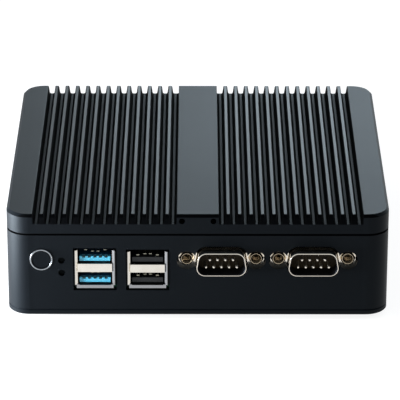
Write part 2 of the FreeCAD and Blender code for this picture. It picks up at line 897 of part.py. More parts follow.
def serial_insulator(x):
    back_part = d_body(x, serial_z, front_inner + d_flange_thickness, serial_board_front)
    front_part = d_prism(
        male_inner_width, male_inner_height, -slot_clearance, x, serial_z,
        front_inner - insulator_step, front_inner + d_flange_thickness, -1,
    )
    insulator = back_part.fuse(front_part).removeSplitter()
    return insulator.cut([
        level(pin_radius, px, pz, front_inner - past, serial_board_front + past)
        for px, pz in pin_places(x, serial_z)
    ])


def serial_pin(x, z):
    tip = front - d_proud + pin_recess
    tail = serial_board_front + board_thickness + pin_tail
    shaft = level(pin_radius, x, z, tip + pin_tip, tail)
    point = Part.makeCone(pin_tip_radius, pin_radius, pin_tip, Vector(x, tip, z), Vector(0, 1, 0))
    return shaft.fuse(point).removeSplitter()


def serial_ports():
    places = []
    for side, x in (("left", serial_left_x), ("right", serial_right_x)):
        node = "serial_" + side
        parts[node + "_shell"] = d_shell(x, serial_z, male_inner_width, male_inner_height, -1)
        parts[node + "_insulator"] = serial_insulator(x)
        parts[node + "_pins"] = Part.makeCompound([serial_pin(px, pz) for px, pz in pin_places(x, serial_z)])
        parts[node + "_nuts"] = d_nuts(x, serial_z)
        places.extend(pin_places(x, serial_z))

    board_end = serial_board_front + board_thickness
    x0 = serial_left_x - d_flange_width / 2
    x1 = serial_right_x + d_flange_width / 2
    board = box(
        x0, x1, serial_board_front, board_end,
        board_top + serial_board_lift, board_top + serial_board_height,
    )
    parts["serial_board"] = board.cut([
        level(pin_radius + fit_clearance, px, pz, serial_board_front - past, board_end + past)
        for px, pz in places
    ])

    middle_x = (serial_left_x + serial_right_x) / 2
    socket_front = serial_board_front + (board_thickness - card_socket_depth) / 2
    socket_back = socket_front + card_socket_depth
    socket_top = board_top + card_socket_height
    socket = middle_box(middle_x, card_socket_length, socket_front, socket_back, board_top, socket_top)
    slot = middle_box(
        middle_x, card_socket_length + 2 * past,
        serial_board_front - slot_clearance, board_end + slot_clearance,
        board_top + serial_board_lift, socket_top + past,
    )
    parts["serial_board_socket"] = socket.cut(slot)


def monitor_port():
    z = board_top + monitor_rise
    parts["monitor_port_shell"] = mirror_y(d_shell(monitor_x, z, female_inner_width, female_inner_height, 1))
    face = front - d_proud + monitor_face_recess
    flange_back = front_inner + d_flange_thickness
    plug = d_prism(
        female_inner_width, female_inner_height, -slot_clearance, monitor_x, z, face, flange_back, 1)
    foot_end = flange_back + monitor_foot_depth
    foot = middle_box(monitor_x, d_body_width, flange_back, foot_end, board_top, z + d_body_height / 2)
    holes = []
    for row in (-1, 0, 1):
        for column in range(5):
            offset = (column - 2) * monitor_hole_pitch + (monitor_hole_pitch / 4) * (1 if row == 0 else -1)
            holes.append(level(
                monitor_hole_radius, monitor_x + offset, z + row * monitor_row_spacing,
                face - past, face + monitor_hole_depth,
            ))
    parts["monitor_port_insulator"] = mirror_y(plug.fuse(foot).removeSplitter().cut(holes))
    parts["monitor_port_nuts"] = mirror_y(d_nuts(monitor_x, z))


# ---------------------------------------------------------------- other rear sockets
def video_outline(grow, y):
    half = video_width / 2 + grow
    low = board_top - grow
    high = board_top + video_height + grow
    corners = [
        Vector(video_x - half, y, high),
        Vector(video_x + half, y, high),
        Vector(video_x + half, y, low + video_step + grow),
        Vector(video_x + half - video_step, y, low),
        Vector(video_x - half + video_step, y, low),
        Vector(video_x - half, y, low + video_step + grow),
    ]
    return rounded_wire(corners, video_sheet)


def video_port():
    face = back + rear_proud
    rear = face - video_depth
    shell = prism(video_outline(0.0, rear), Vector(0, video_depth, 0))
    bore = prism(video_outline(-video_sheet, rear - past), Vector(0, video_depth + 2 * past, 0))
    parts["video_port_shell"] = shell.cut(bore)
    block = prism(video_outline(-video_sheet, rear), Vector(0, video_block, 0))
    middle = board_top + video_height / 2 + video_sheet
    low = middle - video_tongue_thickness / 2
    tongue = middle_box(
        video_x, video_tongue_width, rear + video_block - video_sheet, face - video_tongue_recess,
        low, low + video_tongue_thickness,
    )
    parts["video_port_tongue"] = block.fuse(tongue).removeSplitter()


def network_port(node, x):
    face = back + rear_proud
    rear = face - network_depth
    half = network_width / 2
    top = board_top + network_height
    shell = box(x - half, x + half, rear, face, board_top, top)
    half -= network_sheet
    inside = box(x - half, x + half, rear + network_sheet, face + past, board_top - past, top - network_sheet)
    parts[node + "_shell"] = shell.cut(inside)

    core_face = face - network_face_recess
    core = box(x - half, x + half, rear + network_sheet, core_face, board_top, top - network_sheet)
    aperture_end = core_face - network_aperture_depth
    low = board_top + network_aperture_rise
    high = low + network_aperture_height
    aperture = middle_box(x, network_aperture_width, aperture_end, face + past, low, high)
    notch = middle_box(x, network_latch_width, aperture_end, face + past, low - network_latch_height, low)
    core = core.cut(aperture.fuse(notch).removeSplitter())
    lights = []
    for side in (-1, 1):
        centre = x + side * (half - network_light_width / 2 - network_sheet)
        low = high + network_sheet
        lights.append(middle_box(
            centre, network_light_width, core_face - past, core_face + network_light_proud,
            low, low + network_light_height,
        ))
    parts[node + "_insulator"] = core.fuse(lights).removeSplitter()

    start = core_face - network_contact_setback
    section = [
        Vector(0, start, high),
        Vector(0, start - network_contact_width, high),
        Vector(0, aperture_end, high - network_contact_drop + network_contact_width),
        Vector(0, aperture_end, high - network_contact_drop),
    ]
    wires = []
    for number in range(network_contact_count):
        offset = (number - (network_contact_count - 1) / 2) * network_contact_pitch
        wire = polygon_prism(section, Vector(network_contact_width, 0, 0))
        wire.translate(Vector(x + offset - network_contact_width / 2, 0, 0))
        wires.append(wire)
    parts[node + "_contacts"] = Part.makeCompound(wires)


def power_inlet():
    z = board_top + inlet_rise
    face = back + rear_proud
    body_end = back_inner - slot_clearance
    body = middle_box(
        inlet_x, inlet_width, body_end - inlet_depth, body_end, board_top, board_top + inlet_height)
    barrel = level(inlet_barrel_radius, inlet_x, z, body_end - past, face)
    bore = level(inlet_bore_radius, inlet_x, z, face - inlet_bore_depth, face + past)
    parts["power_inlet_body"] = body.fuse(barrel).removeSplitter().cut(bore)
    parts["power_inlet_pin"] = level(
        inlet_pin_radius, inlet_x, z, face - inlet_bore_depth, face - inlet_pin_recess)


def antenna_hole_plugs():
    solids = []
    z = board_top + plug_rise
    for x in (-plug_x, plug_x):
        stalk = level(plug_radius, x, z, back - plug_length, back)
        head = level(plug_head_radius, x, z, back, back + plug_head_height)
        solids.append(stalk.fuse(head).removeSplitter())
    parts["antenna_hole_plugs"] = Part.makeCompound(solids)


# ---------------------------------------------------------------- mainboard and what it carries
def mainboard():
    board = rounded_block(board_width, board_depth, board_corner_radius, board_bottom, board_top)
    holes = [
        upright(board_hole_radius, x, y, board_bottom - past, board_top + past)
        for x, y in four_corners(post_x, post_y)
    ]
    soldered = []
    for x, y in capacitor_places:
        soldered.append(upright(capacitor_radius, x, y, board_top, board_top + capacitor_height))
    half = choke_size / 2
    for x, y in choke_places:
        choke = box(x - half, x + half, y - half, y + half, board_top, board_top + choke_height)
        soldered.append(choke.makeChamfer(seam_chamfer, edges_at(choke, board_top + choke_height)))
    module_top = board_bottom - storage_drop + storage_sheet / 2
    for x, y in storage_screw_places():
        soldered.append(upright(storage_screw_head, x, y, module_top, board_bottom))
        holes.append(upright(
            storage_screw_radius, x, y, module_top - past, board_bottom - storage_sheet / 2))
    parts["mainboard"] = board.fuse(soldered).removeSplitter().cut(holes)
    parts["mainboard_screws"] = Part.makeCompound([
        pan_screw(x, y, board_top, board_screw_length, -1) for x, y in four_corners(post_x, post_y)
    ])


def processor():
    half = processor_size / 2
    base = box(
        processor_x - half, processor_x + half, processor_y - half, processor_y + half,
        board_top, processor_top,
    )
    parts["processor"] = base.makeChamfer(seam_chamfer, edges_at(base, processor_top))
    half = pad_size / 2
    pad_top = processor_top + pad_thickness
    parts["thermal_pad"] = box(
        processor_x - half, processor_x + half, processor_y - half, processor_y + half,
        processor_top, pad_top,
    )
    flange_bottom = frame_top - spreader_flange
    flange = rounded_block(
        spreader_width, spreader_depth, spreader_corner, flange_bottom, frame_top, processor_x, processor_y)
    neck = rounded_block(
        spreader_neck, spreader_neck, spreader_corner, pad_top, flange_bottom, processor_x, processor_y)
    holes = []
    screws = []
    for x, y in four_corners(spreader_screw_spacing_x / 2, spreader_screw_spacing_y / 2):
        holes.append(upright(
            board_hole_radius, processor_x + x, processor_y + y, flange_bottom - past, frame_top + past))
        screws.append(pan_screw(
            processor_x + x, processor_y + y, flange_bottom, spreader_flange + heatsink_screw_reach, 1))
    parts["heat_spreader"] = flange.fuse(neck).removeSplitter().cut(holes)
    parts["heat_spreader_screws"] = Part.makeCompound(screws)


def memory():
    """A memory module in its socket, under the mainboard."""
    middle = board_bottom - memory_drop
    half = memory_width / 2
    socket_front = memory_y + memory_length / 2 - memory_bite
    socket_back = socket_front + memory_socket_depth
    outer = half + slot_clearance + memory_arm
    bar = box(-outer, outer, socket_front, socket_back, board_bottom - memory_socket_height, board_bottom)
    arms = []
    for side in (-1, 1):
        inner = side * (half + slot_clearance)
        x0 = min(inner, side * outer)
        x1 = max(inner, side * outer)
        arms.append(box(
            x0, x1, memory_y - memory_length / 2 + memory_bite, socket_front,
            middle - memory_sheet, board_bottom,
        ))
    slot = box(
        -half - slot_clearance, half + slot_clearance, socket_front - past, socket_front + memory_bite,
        middle - memory_sheet / 2, middle + memory_sheet / 2,
    )
    parts["memory_socket"] = bar.fuse(arms).removeSplitter().cut(slot)

    board = box(
        -half, half, memory_y - memory_length / 2, memory_y + memory_length / 2,
        middle - memory_sheet / 2, middle + memory_sheet / 2,
    )
    chips = []
    pitch = memory_width / memory_chip_count
    for number in range(memory_chip_count):
        centre = -half + (number + 0.5) * pitch
        chips.append(box(
            centre - memory_chip_width / 2, centre + memory_chip_width / 2,
            memory_y - memory_chip_length / 2, memory_y + memory_chip_length / 2,
            middle - memory_sheet / 2 - memory_chip, middle - memory_sheet / 2,
        ))
    parts["memory_module"] = board.fuse(chips).removeSplitter()


def storage_screw_places():
    end = storage_x - storage_length / 2 + storage_screw_inset
    side = storage_width / 2 - storage_screw_inset
    return [(end, storage_y - side), (end, storage_y + side)]


def storage():
    """A storage module in its socket, under the mainboard."""
    middle = board_bottom - storage_drop
    low = middle - storage_sheet / 2
    high = middle + storage_sheet / 2
    x0 = storage_x - storage_length / 2
    x1 = storage_x + storage_length / 2
    half = storage_width / 2
    socket_start = x1 - storage_bite
    socket = box(
        socket_start, socket_start + storage_socket_depth, storage_y - half - past, storage_y + half + past,
        board_bottom - storage_socket_height, board_bottom,
    )
    slot = box(
        socket_start - past, x1, storage_y - half - slot_clearance, storage_y + half + slot_clearance,
        low, high,
    )
    parts["storage_socket"] = socket.cut(slot)
    board = box(x0, x1, storage_y - half, storage_y + half, low, high)
    chips = []
    for start, length in storage_chips:
        chips.append(box(
            x0 + start, x0 + start + length,
            storage_y - storage_chip_width / 2, storage_y + storage_chip_width / 2, low - storage_chip, low,
        ))
    holes = [
        upright(storage_screw_radius + fit_clearance, x, y, low - past, high + past)
        for x, y in storage_screw_places()
    ]
    parts["storage_module"] = board.fuse(chips).removeSplitter().cut(holes)
    screws = []
    for x, y in storage_screw_places():
        shank = upright(storage_screw_radius - fit_clearance, x, y, low, board_bottom - storage_sheet)
        head = upright(storage_screw_head, x, y, low - storage_sheet, low)
        screws.append(shank.fuse(head).removeSplitter())
    parts["storage_screws"] = Part.makeCompound(screws)


def coin_cell():
    floor = board_top + holder_floor
    outer = cell_radius + fit_clearance + holder_wall
    holder = upright(outer, cell_x, cell_y, board_top, floor + cell_height)
    holder = holder.cut(upright(
        cell_radius + fit_clearance, cell_x, cell_y, floor, floor + cell_height + past))
    gate = box(
        cell_x - holder_gate / 2, cell_x + holder_gate / 2, cell_y - outer - past, cell_y + outer + past,
        floor, floor + cell_height + past,
    )
    parts["coin_cell_holder"] = holder.cut(gate)
    parts["coin_cell"] = upright(cell_radius, cell_x, cell_y, floor, floor + cell_height)


# ---------------------------------------------------------------- build
covers()
power_button()
parts["power_light"] = status_light(light_rises[0])
parts["drive_light"] = status_light(light_rises[1])
stacked_sockets()
serial_ports()
monitor_port()
video_port()
for port_name, port_x in zip(("network_left", "network_right"), network_places):
    network_port(port_name, port_x)
power_inlet()
antenna_hole_plugs()
mainboard()
processor()
memory()
storage()
coin_cell()

os.makedirs("parts", exist_ok=True)
for node, shape in parts.items():
    shape.exportStep("parts/" + node + ".step")
    print(node, "solids", len(shape.Solids), "valid", shape.isValid(), "volume", round(shape.Volume, 2))
print(len(parts), "nodes")
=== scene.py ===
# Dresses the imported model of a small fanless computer: a finish for every piece,
# the threads that the solids leave out, and a plain pale studio.
import json
import math

import bmesh
import bpy
from mathutils import Matrix, Vector


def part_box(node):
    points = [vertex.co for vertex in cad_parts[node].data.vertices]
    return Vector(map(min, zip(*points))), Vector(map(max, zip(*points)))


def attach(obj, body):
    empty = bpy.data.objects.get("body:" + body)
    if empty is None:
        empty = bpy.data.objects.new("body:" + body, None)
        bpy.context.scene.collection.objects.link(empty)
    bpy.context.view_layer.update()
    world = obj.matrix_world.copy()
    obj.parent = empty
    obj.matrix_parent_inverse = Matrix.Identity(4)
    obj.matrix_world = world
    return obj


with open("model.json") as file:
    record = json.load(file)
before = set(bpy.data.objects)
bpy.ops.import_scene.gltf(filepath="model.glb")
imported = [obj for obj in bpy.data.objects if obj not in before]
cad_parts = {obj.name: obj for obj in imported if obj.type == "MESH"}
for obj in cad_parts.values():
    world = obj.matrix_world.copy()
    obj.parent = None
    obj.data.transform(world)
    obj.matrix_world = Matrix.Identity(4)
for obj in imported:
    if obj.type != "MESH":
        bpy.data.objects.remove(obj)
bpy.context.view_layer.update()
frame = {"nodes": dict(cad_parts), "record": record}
nodes = frame["nodes"]
mm = 0.001
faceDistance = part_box("case_frame")[1][1]      # of the front and rear faces from the middle
boltPatterns = [mount for mount in frame["record"]["mounts"] if mount["kind"] == "bolt_pattern"]


# a socket of a node tree: + - * on it add Math nodes, and node() adds any other node
class Shade:
    def __init__(self, tree, socket=None):
        self.tree = tree
        self.socket = socket

    def node(self, kind, settings=None, sockets=None, output=0):
        made = self.tree.nodes.new("ShaderNode" + kind)
        for name, value in (settings or {}).items():
            setattr(made, name, value)
        for name, value in (sockets or {}).items():
            if isinstance(value, Shade):
                self.tree.links.new(value.socket, made.inputs[name])
            else:
                made.inputs[name].default_value = value
        return Shade(self.tree, made.outputs[output] if made.outputs else None)

    def maths(self, operation, first, second=0.0):
        return self.node("Math", {"operation": operation}, {0: first, 1: second})

    def __add__(self, other):
        return self.maths("ADD", self, other)

    def __sub__(self, other):
        return self.maths("SUBTRACT", self, other)

    def __rsub__(self, other):
        return self.maths("SUBTRACT", other, self)

    def __mul__(self, other):
        return self.maths("MULTIPLY", self, other)

    __radd__ = __add__
    __rmul__ = __mul__

    def above(self, edge, softness):
        # 0 below the edge, 1 past it
        settings = {"interpolation_type": "SMOOTHSTEP"}
        sockets = {"Value": self, "From Min": edge - softness, "From Max": edge + softness}
        return self.node("MapRange", settings, sockets)

    def between(self, low, high, softness):
        return self.above(low, softness) * (1 - self.above(high, softness))

    def mix(self, colourA, colourB):
        # 6 and 7 are the node's colour inputs, and output 2 is its colour
        settings = {"data_type": "RGBA"}
        return self.node("Mix", settings, {0: self, 6: colourA, 7: colourB}, output=2)


def rgb(red, green, blue):
    return (red, green, blue, 1.0)


def newFinish(name, constants):
    # a material with its constants set on the shader's own sockets
    material = bpy.data.materials.new(name)
    material.use_nodes = True
    tree = material.node_tree
    shader = tree.nodes["Principled BSDF"]
    for socket, value in constants.items():
        shader.inputs[socket].default_value = value
    return material, Shade(tree), shader


def plug(shade, shader, socket):
    shade.tree.links.new(shade.socket, shader.inputs[socket])


def coordinate(shade, vector, axis):
    return shade.node("SeparateXYZ", {}, {"Vector": vector}, output=axis)


def place(shade, axis=None):
    # the shaded point, or one of its coordinates
    spot = shade.node("TexCoord", output="Object")
    return coordinate(shade, spot, axis) if axis else spot


noiseMiddle = 0.5      # noise runs from 0 to 1 about this


def noise(shade, perMetre, detail=2.0, stretch=(1, 1, 1)):
    spot = shade.node("Mapping", {}, {"Vector": place(shade), "Scale": stretch})
    return shade.node("TexNoise", {}, {"Vector": spot, "Scale": perMetre, "Detail": detail})


def bump(shade, shader, height, strength, distance):
    sockets = {"Height": height, "Strength": strength, "Distance": distance}
    plug(shade.node("Bump", {}, sockets), shader, "Normal")


caseFinish = {
    "black": rgb(0.0008, 0.0013, 0.0022),
    "worn": rgb(0.0013, 0.0019, 0.0029),
    "cloudPerMetre": 38,
    "cloudSoftness": 0.25,
    "grainPerMetre": 5200,
    "grainBump": 0.35,
    "grainHeight": 0.012 * mm,
    "roughness": 0.46,
    "roughnessSpread": 0.04,
    "sheen": 0.10,
    "sheenTint": rgb(0.80, 0.92, 1.0),
    # the painted highlight along the fin tops
    "finTop": rgb(0.010, 0.010, 0.010),
    "finTopRoughness": 0.32,
    "finTopSheen": 0.077,
    "finTopTint": rgb(0.94, 0.95, 1.0),
    # the painted shade on the groove walls, the edges of the groove floors, the chamfers and the seam
    "paintedShade": rgb(0.0004, 0.0006, 0.0009),
    "flankRoughness": 0.90,
    "flankSheen": 0.03,
    "floorRoughness": 0.56,
    # across, from the middle of the cover
    "finsFrom": 7.6 * mm,
    "finsTo": 59.45 * mm,
    "firstGroove": 8.9 * mm,     # its middle
    "finPitch": 4.1 * mm,
    "finStrip": 1.02 * mm,       # width of the strip of painted highlight along each fin's top
    "floorStrip": 0.85 * mm,     # width of the strip along each groove's floor that has no painted shade
    "acrossSoftness": 0.04 * mm,
    "floorStripSoftness": 0.08 * mm,
    # down from the top of the cover
    "grooveFrom": 0.04 * mm,
    "floorFrom": 3.25 * mm,
    "floorTo": 3.66 * mm,
    "seamFrom": 7.3 * mm,        # the shadow gap under the cover, dark with painted shade
    "seamTo": 8.1 * mm,
    "downSoftness": 0.03 * mm,
    "floorSoftness": 0.15 * mm,
    # the chamfer at the front and rear of the cover's top, dark with painted shade
    "rimWidth": 1.1 * mm,
    "rimDepth": 1.05 * mm,
    "rimSoftness": 0.05 * mm,
}


def caseMasks(shade):
    # 1 on the strips of painted highlight along the fin tops, on the painted shade of the groove walls,
    # the floor edges, the chamfers and the seam, and on the grooves' floors and all below them
    c = caseFinish
    across = shade.maths("ABSOLUTE", place(shade, "X"))
    along = shade.maths("ABSOLUTE", place(shade, "Y"))
    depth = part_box("heatsink_cover")[1][2] - place(shade, "Z")
    down = depth.above(c["grooveFrom"], c["downSoftness"])
    finned = across.between(c["finsFrom"], c["finsTo"], c["acrossSoftness"])
    fromGroove = shade.maths("PINGPONG", across - c["firstGroove"], c["finPitch"] / 2)
    onStrip = fromGroove.above((c["finPitch"] - c["finStrip"]) / 2, c["acrossSoftness"])
    paintedHighlightMask = finned * (1 - down) * onStrip
    besideStrip = fromGroove.above(c["floorStrip"] / 2, c["floorStripSoftness"])
    paintedFloorShade = besideStrip * (1 - depth.above(c["floorTo"], c["downSoftness"]))
    onFloor = finned * depth.above(c["floorFrom"], c["floorSoftness"]) * (1 - paintedFloorShade)
    atFace = along.above(faceDistance - c["rimWidth"], c["rimSoftness"])
    onRim = atFace * down * (1 - depth.above(c["rimDepth"], c["rimSoftness"]))
    onSeam = depth.between(c["seamFrom"], c["seamTo"], c["downSoftness"])
    onEdge = shade.maths("MAXIMUM", onRim, onSeam)
    inPaintedShade = shade.maths("MAXIMUM", finned - paintedHighlightMask - onFloor, onEdge)
    return paintedHighlightMask, inPaintedShade, onFloor


def makeCaseFinish():
    # bead-blasted, black anodised aluminium, rougher in the grooves; painted shade on the groove walls,
    # the edges of their floors, the chamfers and the seam, and a painted highlight along the fin tops
    c = caseFinish
    constants = {"Specular IOR Level": c["sheen"], "Specular Tint": c["sheenTint"]}
    material, shade, shader = newFinish("caseAnodised", constants)
    cloud = noise(shade, c["cloudPerMetre"], detail=3.0)
    grain = noise(shade, c["grainPerMetre"], detail=1.0)
    paintedHighlightMask, inPaintedShade, onFloor = caseMasks(shade)
    plain = cloud.above(noiseMiddle, c["cloudSoftness"]).mix(c["black"], c["worn"])
    plug(plain, shader, "Base Color")
    spread = c["roughnessSpread"]
    gloss = (cloud - noiseMiddle) * spread + (grain - noiseMiddle) * spread + c["roughness"]
    gloss = gloss + paintedHighlightMask * (c["finTopRoughness"] - c["roughness"])
    gloss = gloss + inPaintedShade * (c["flankRoughness"] - c["roughness"])
    gloss = gloss + onFloor * (c["floorRoughness"] - c["roughness"])
    plug(gloss, shader, "Roughness")
    bump(shade, shader, grain, c["grainBump"], c["grainHeight"])
    anodised = Shade(shade.tree, shader.outputs["BSDF"])
    # a nearly black shader with little sheen, for the painted shade
    paintedShade = shade.node("BsdfPrincipled", {}, {
        "Base Color": c["paintedShade"],
        "Roughness": c["flankRoughness"],
        "Specular IOR Level": c["flankSheen"],
    })
    # a lighter, glossier shader for the painted highlight along the fin tops
    paintedFinHighlight = shade.node("BsdfPrincipled", {}, {
        "Base Color": c["finTop"],
        "Roughness": c["finTopRoughness"],
        "Specular IOR Level": c["finTopSheen"],
        "Specular Tint": c["finTopTint"],
    })
    grooved = shade.node("MixShader", {}, {0: inPaintedShade, 1: anodised, 2: paintedShade})
    surface = shade.node("MixShader", {}, {0: paintedHighlightMask, 1: grooved, 2: paintedFinHighlight})
    plug(surface, shade.tree.nodes["Material Output"], "Surface")
    return material


metalFinishes = {
    # name: tone, dimmer tone, roughness, patches to the metre
    "platedSteel": (rgb(0.80, 0.74, 0.65), rgb(0.70, 0.65, 0.57), 0.36, 400),
    "socketSteel": (rgb(0.66, 0.62, 0.56), rgb(0.60, 0.56, 0.50), 0.13, 220),
    "portSteel": (rgb(0.74, 0.68, 0.59), rgb(0.65, 0.59, 0.51), 0.14, 300),
    "nutSteel": (rgb(0.72, 0.60, 0.44), rgb(0.60, 0.49, 0.36), 0.20, 500),
    "polishedRing": (rgb(0.30, 0.315, 0.33), rgb(0.21, 0.22, 0.235), 0.20, 900),
    "zincScrew": (rgb(0.10, 0.10, 0.11), rgb(0.05, 0.05, 0.06), 0.34, 1500),
    "contactGold": (rgb(0.62, 0.56, 0.44), rgb(0.50, 0.45, 0.35), 0.24, 1200),
    "bareAluminium": (rgb(0.70, 0.71, 0.73), rgb(0.58, 0.59, 0.61), 0.34, 600),
    "cellSteel": (rgb(0.66, 0.66, 0.64), rgb(0.56, 0.56, 0.54), 0.28, 700),
}
metalPatches = {
    "stretch": (1, 0.2, 1),
    "softness": 0.3,
    "roughnessSpread": 0.06,
    "bump": 0.06,
    "height": 0.01 * mm,
}


def makeMetal(name, node=None, details=()):
    # each detail is a function that paints shade on a part of the node
    tone, dim, roughness, perMetre = metalFinishes[name]
    material, shade, shader = newFinish(name, {"Metallic": 1.0})
    cloud = noise(shade, perMetre, stretch=metalPatches["stretch"])
    colour = cloud.above(noiseMiddle, metalPatches["softness"]).mix(dim, tone)
    gloss = (cloud - noiseMiddle) * metalPatches["roughnessSpread"] + roughness
    for detail in details:
        colour, gloss = detail(shade, node, colour, gloss)
    plug(colour, shader, "Base Color")
    plug(gloss, shader, "Roughness")
    bump(shade, shader, cloud, metalPatches["bump"], metalPatches["height"])
    return material


# painted shade inside the sockets: darker and rougher from this depth behind the face of the case
socketShade = {
    "from": 0.8 * mm,            # behind the face of the case
    "softness": 0.5 * mm,
    "tone": rgb(0.035, 0.036, 0.042),
    "roughness": 0.35,           # added to the metal's own
}


def paintShade(inside, colour, gloss):
    return inside.mix(colour, socketShade["tone"]), gloss + inside * socketShade["roughness"]


def depthInCase(shade):
    # distance inwards from the front and rear faces, less than 0 outside them
    return faceDistance - shade.maths("ABSOLUTE", place(shade, "Y"))


def paintSocketShade(shade, node, colour, gloss):
    inside = depthInCase(shade).above(socketShade["from"], socketShade["softness"])
    return paintShade(inside, colour, gloss)


portShade = {
    "facing": 0.4 * mm,          # distance from the middle line, times how squarely a face looks at it
    "softness": 0.3 * mm,
}


def paintPortShade(shade, node, colour, gloss):
    # painted shade where the shell faces its own middle line, on the inside of the shell
    low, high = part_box(node)
    middle = (low + high) / 2
    toMiddle = shade.node("VectorMath", {"operation": "SUBTRACT"}, {0: middle, 1: place(shade)})
    flat = shade.node("VectorMath", {"operation": "MULTIPLY"}, {0: toMiddle, 1: (1, 0, 1)})
    outward = shade.node("NewGeometry", output="Normal")
    facing = shade.node("VectorMath", {"operation": "DOT_PRODUCT"}, {0: flat, 1: outward}, output="Value")
    return paintShade(facing.above(portShade["facing"], portShade["softness"]), colour, gloss)


# painted shade on the stacked sockets' shells: darker on the bar under the lower opening, on the right
# lip and along the outermost strip at both sides
stackedShell = {
    "footHeight": 1.6 * mm,      # the bar under the lower opening
    "footSoftness": 0.2 * mm,
    "footTone": rgb(0.27, 0.27, 0.28),
    "lipWidth": 1.15 * mm,       # the right lip, turned away from the lamps
    "lipSoftness": 0.05 * mm,
    "lipTone": rgb(0.30, 0.30, 0.31),
    "edgeWidth": 0.22 * mm,      # the outermost strip at both sides
    "edgeSoftness": 0.06 * mm,
    "edgeTone": rgb(0.06, 0.06, 0.06),
}


# painted shade on the foot, the right lip and the outer strips
def paintStackShade(shade, node, colour, gloss):
    s = stackedShell
    low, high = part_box(node)
    aboveFoot = place(shade, "Z").above(low[2] + s["footHeight"], s["footSoftness"])
    colour = aboveFoot.mix(s["footTone"], colour)
    across = place(shade, "X")
    onLip = across.above(high[0] - s["lipWidth"], s["lipSoftness"])
    colour = onLip.mix(colour, s["lipTone"])
    fromMiddle = shade.maths("ABSOLUTE", across - (low[0] + high[0]) / 2)
    onEdge = fromMiddle.above((high[0] - low[0]) / 2 - s["edgeWidth"], s["edgeSoftness"])
    return onEdge.mix(colour, s["edgeTone"]), gloss


boreShade = {
    "radius": 1.9 * mm,          # of the painted shade round the bore
    "softness": 0.04 * mm,
    "tone": rgb(0.10, 0.075, 0.045),
}


# painted shade in and round each nut's bore
def paintBoreShade(shade, node, colour, gloss):
    low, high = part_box(node)
    spacing = next(mount["dims"]["spacing_x_mm"] for mount in boltPatterns if mount["name"] == node)
    offset = shade.node("VectorMath", {"operation": "SUBTRACT"}, {0: place(shade), 1: (low + high) / 2})
    across = shade.maths("ABSOLUTE", coordinate(shade, offset, "X")) - spacing / 2 * mm
    up = coordinate(shade, offset, "Z")
    radius = shade.maths("SQRT", across * across + up * up)
    inBore = 1 - radius.above(boreShade["radius"], boreShade["softness"])
    return inBore.mix(colour, boreShade["tone"]), gloss


plasticFinishes = {
    # name: tone, dimmer tone, roughness, sheen
    "bluePlastic": (rgb(0.066, 0.38, 0.53), rgb(0.055, 0.33, 0.48), 0.34, 0.5),
    "blackPlastic": (rgb(0.010, 0.010, 0.011), rgb(0.007, 0.007, 0.008), 0.42, 0.30),
    "brownPlastic": (rgb(0.030, 0.020, 0.008), rgb(0.018, 0.011, 0.004), 0.50, 0.14),
    "monitorBlue": (rgb(0.012, 0.045, 0.28), rgb(0.009, 0.035, 0.22), 0.42, 0.4),
    "lightPlastic": (rgb(0.002, 0.003, 0.004), rgb(0.001, 0.002, 0.002), 0.30, 0.02),
    "rubberFoot": (rgb(0.012, 0.012, 0.012), rgb(0.007, 0.007, 0.007), 0.80, 0.4),
    "chipBlack": (rgb(0.016, 0.016, 0.017), rgb(0.011, 0.011, 0.012), 0.50, 0.5),
    "heatPad": (rgb(0.34, 0.37, 0.42), rgb(0.28, 0.31, 0.36), 0.85, 0.3),
}
plasticGrain = {
    "cloudPerMetre": 260,
    "cloudSoftness": 0.25,
    "grainPerMetre": 5000,
    "roughnessSpread": 0.10,
    "bump": 0.2,
    "height": 0.01 * mm,
}
blueInside = {"from": 2.5 * mm, "softness": 0.9 * mm, "tone": rgb(0.003, 0.045, 0.11)}


def makePlastic(name):
    g = plasticGrain
    tone, dim, roughness, sheen = plasticFinishes[name]
    material, shade, shader = newFinish(name, {"Specular IOR Level": sheen})
    cloud = noise(shade, g["cloudPerMetre"], detail=3.0)
    grain = noise(shade, g["grainPerMetre"], detail=1.0)
    colour = cloud.above(noiseMiddle, g["cloudSoftness"]).mix(dim, tone)
    if name == "bluePlastic":
        # little light reaches the back of the sockets
        deep = depthInCase(shade).above(blueInside["from"], blueInside["softness"])
        colour = deep.mix(colour, blueInside["tone"])
    plug(colour, shader, "Base Color")
    plug((grain - noiseMiddle) * g["roughnessSpread"] + roughness, shader, "Roughness")
    bump(shade, shader, grain, g["bump"], g["height"])
    return material


circuitBoard = {
    "mask": rgb(0.003, 0.022, 0.011),
    "trackMask": rgb(0.006, 0.042, 0.020),
    "blocksPerMetre": 90,
    "blockSoftness": 0.001,
    "tracksPerMetre": 700,
    "trackFrom": 0.1,            # a track is where the wave stands above this
    "trackSoftness": 0.25,
    "trackBump": 0.5,
    "trackHeight": 0.03 * mm,
    "roughness": 0.30,
    "roughnessSpread": -0.06,    # the tracks shine more than the board between them
    "chips": rgb(0.016, 0.016, 0.018),
    "chipRoughness": 0.48,
    "chipsFrom": 0.06 * mm,      # off a face
    "chipSoftness": 0.03 * mm,
    # lower and upper face of each board that carries parts
    "faces": {
        "mainboard": (10.9 * mm, 12.5 * mm),
        "memory_module": (7.0 * mm, 8.0 * mm),
        "storage_module": (8.2 * mm, 9.2 * mm),
    },
}


def boardTracks(shade):
    # tracks run in blocks, along the board in some and across it in the others
    c = circuitBoard
    sockets = {"Vector": place(shade), "Scale": c["blocksPerMetre"]}
    blocks = shade.node("TexVoronoi", {"distance": "CHEBYCHEV"}, sockets, output="Color")
    drawn = shade.node("SeparateColor", {}, {"Color": blocks})
    alongIt = drawn.above(0.5, c["blockSoftness"])      # half of the blocks
    wave = c["tracksPerMetre"] * math.tau
    waveX = shade.maths("SINE", place(shade, "X") * wave)
    waveY = shade.maths("SINE", place(shade, "Y") * wave)
    return (waveX * alongIt + waveY * (1 - alongIt)).above(c["trackFrom"], c["trackSoftness"])


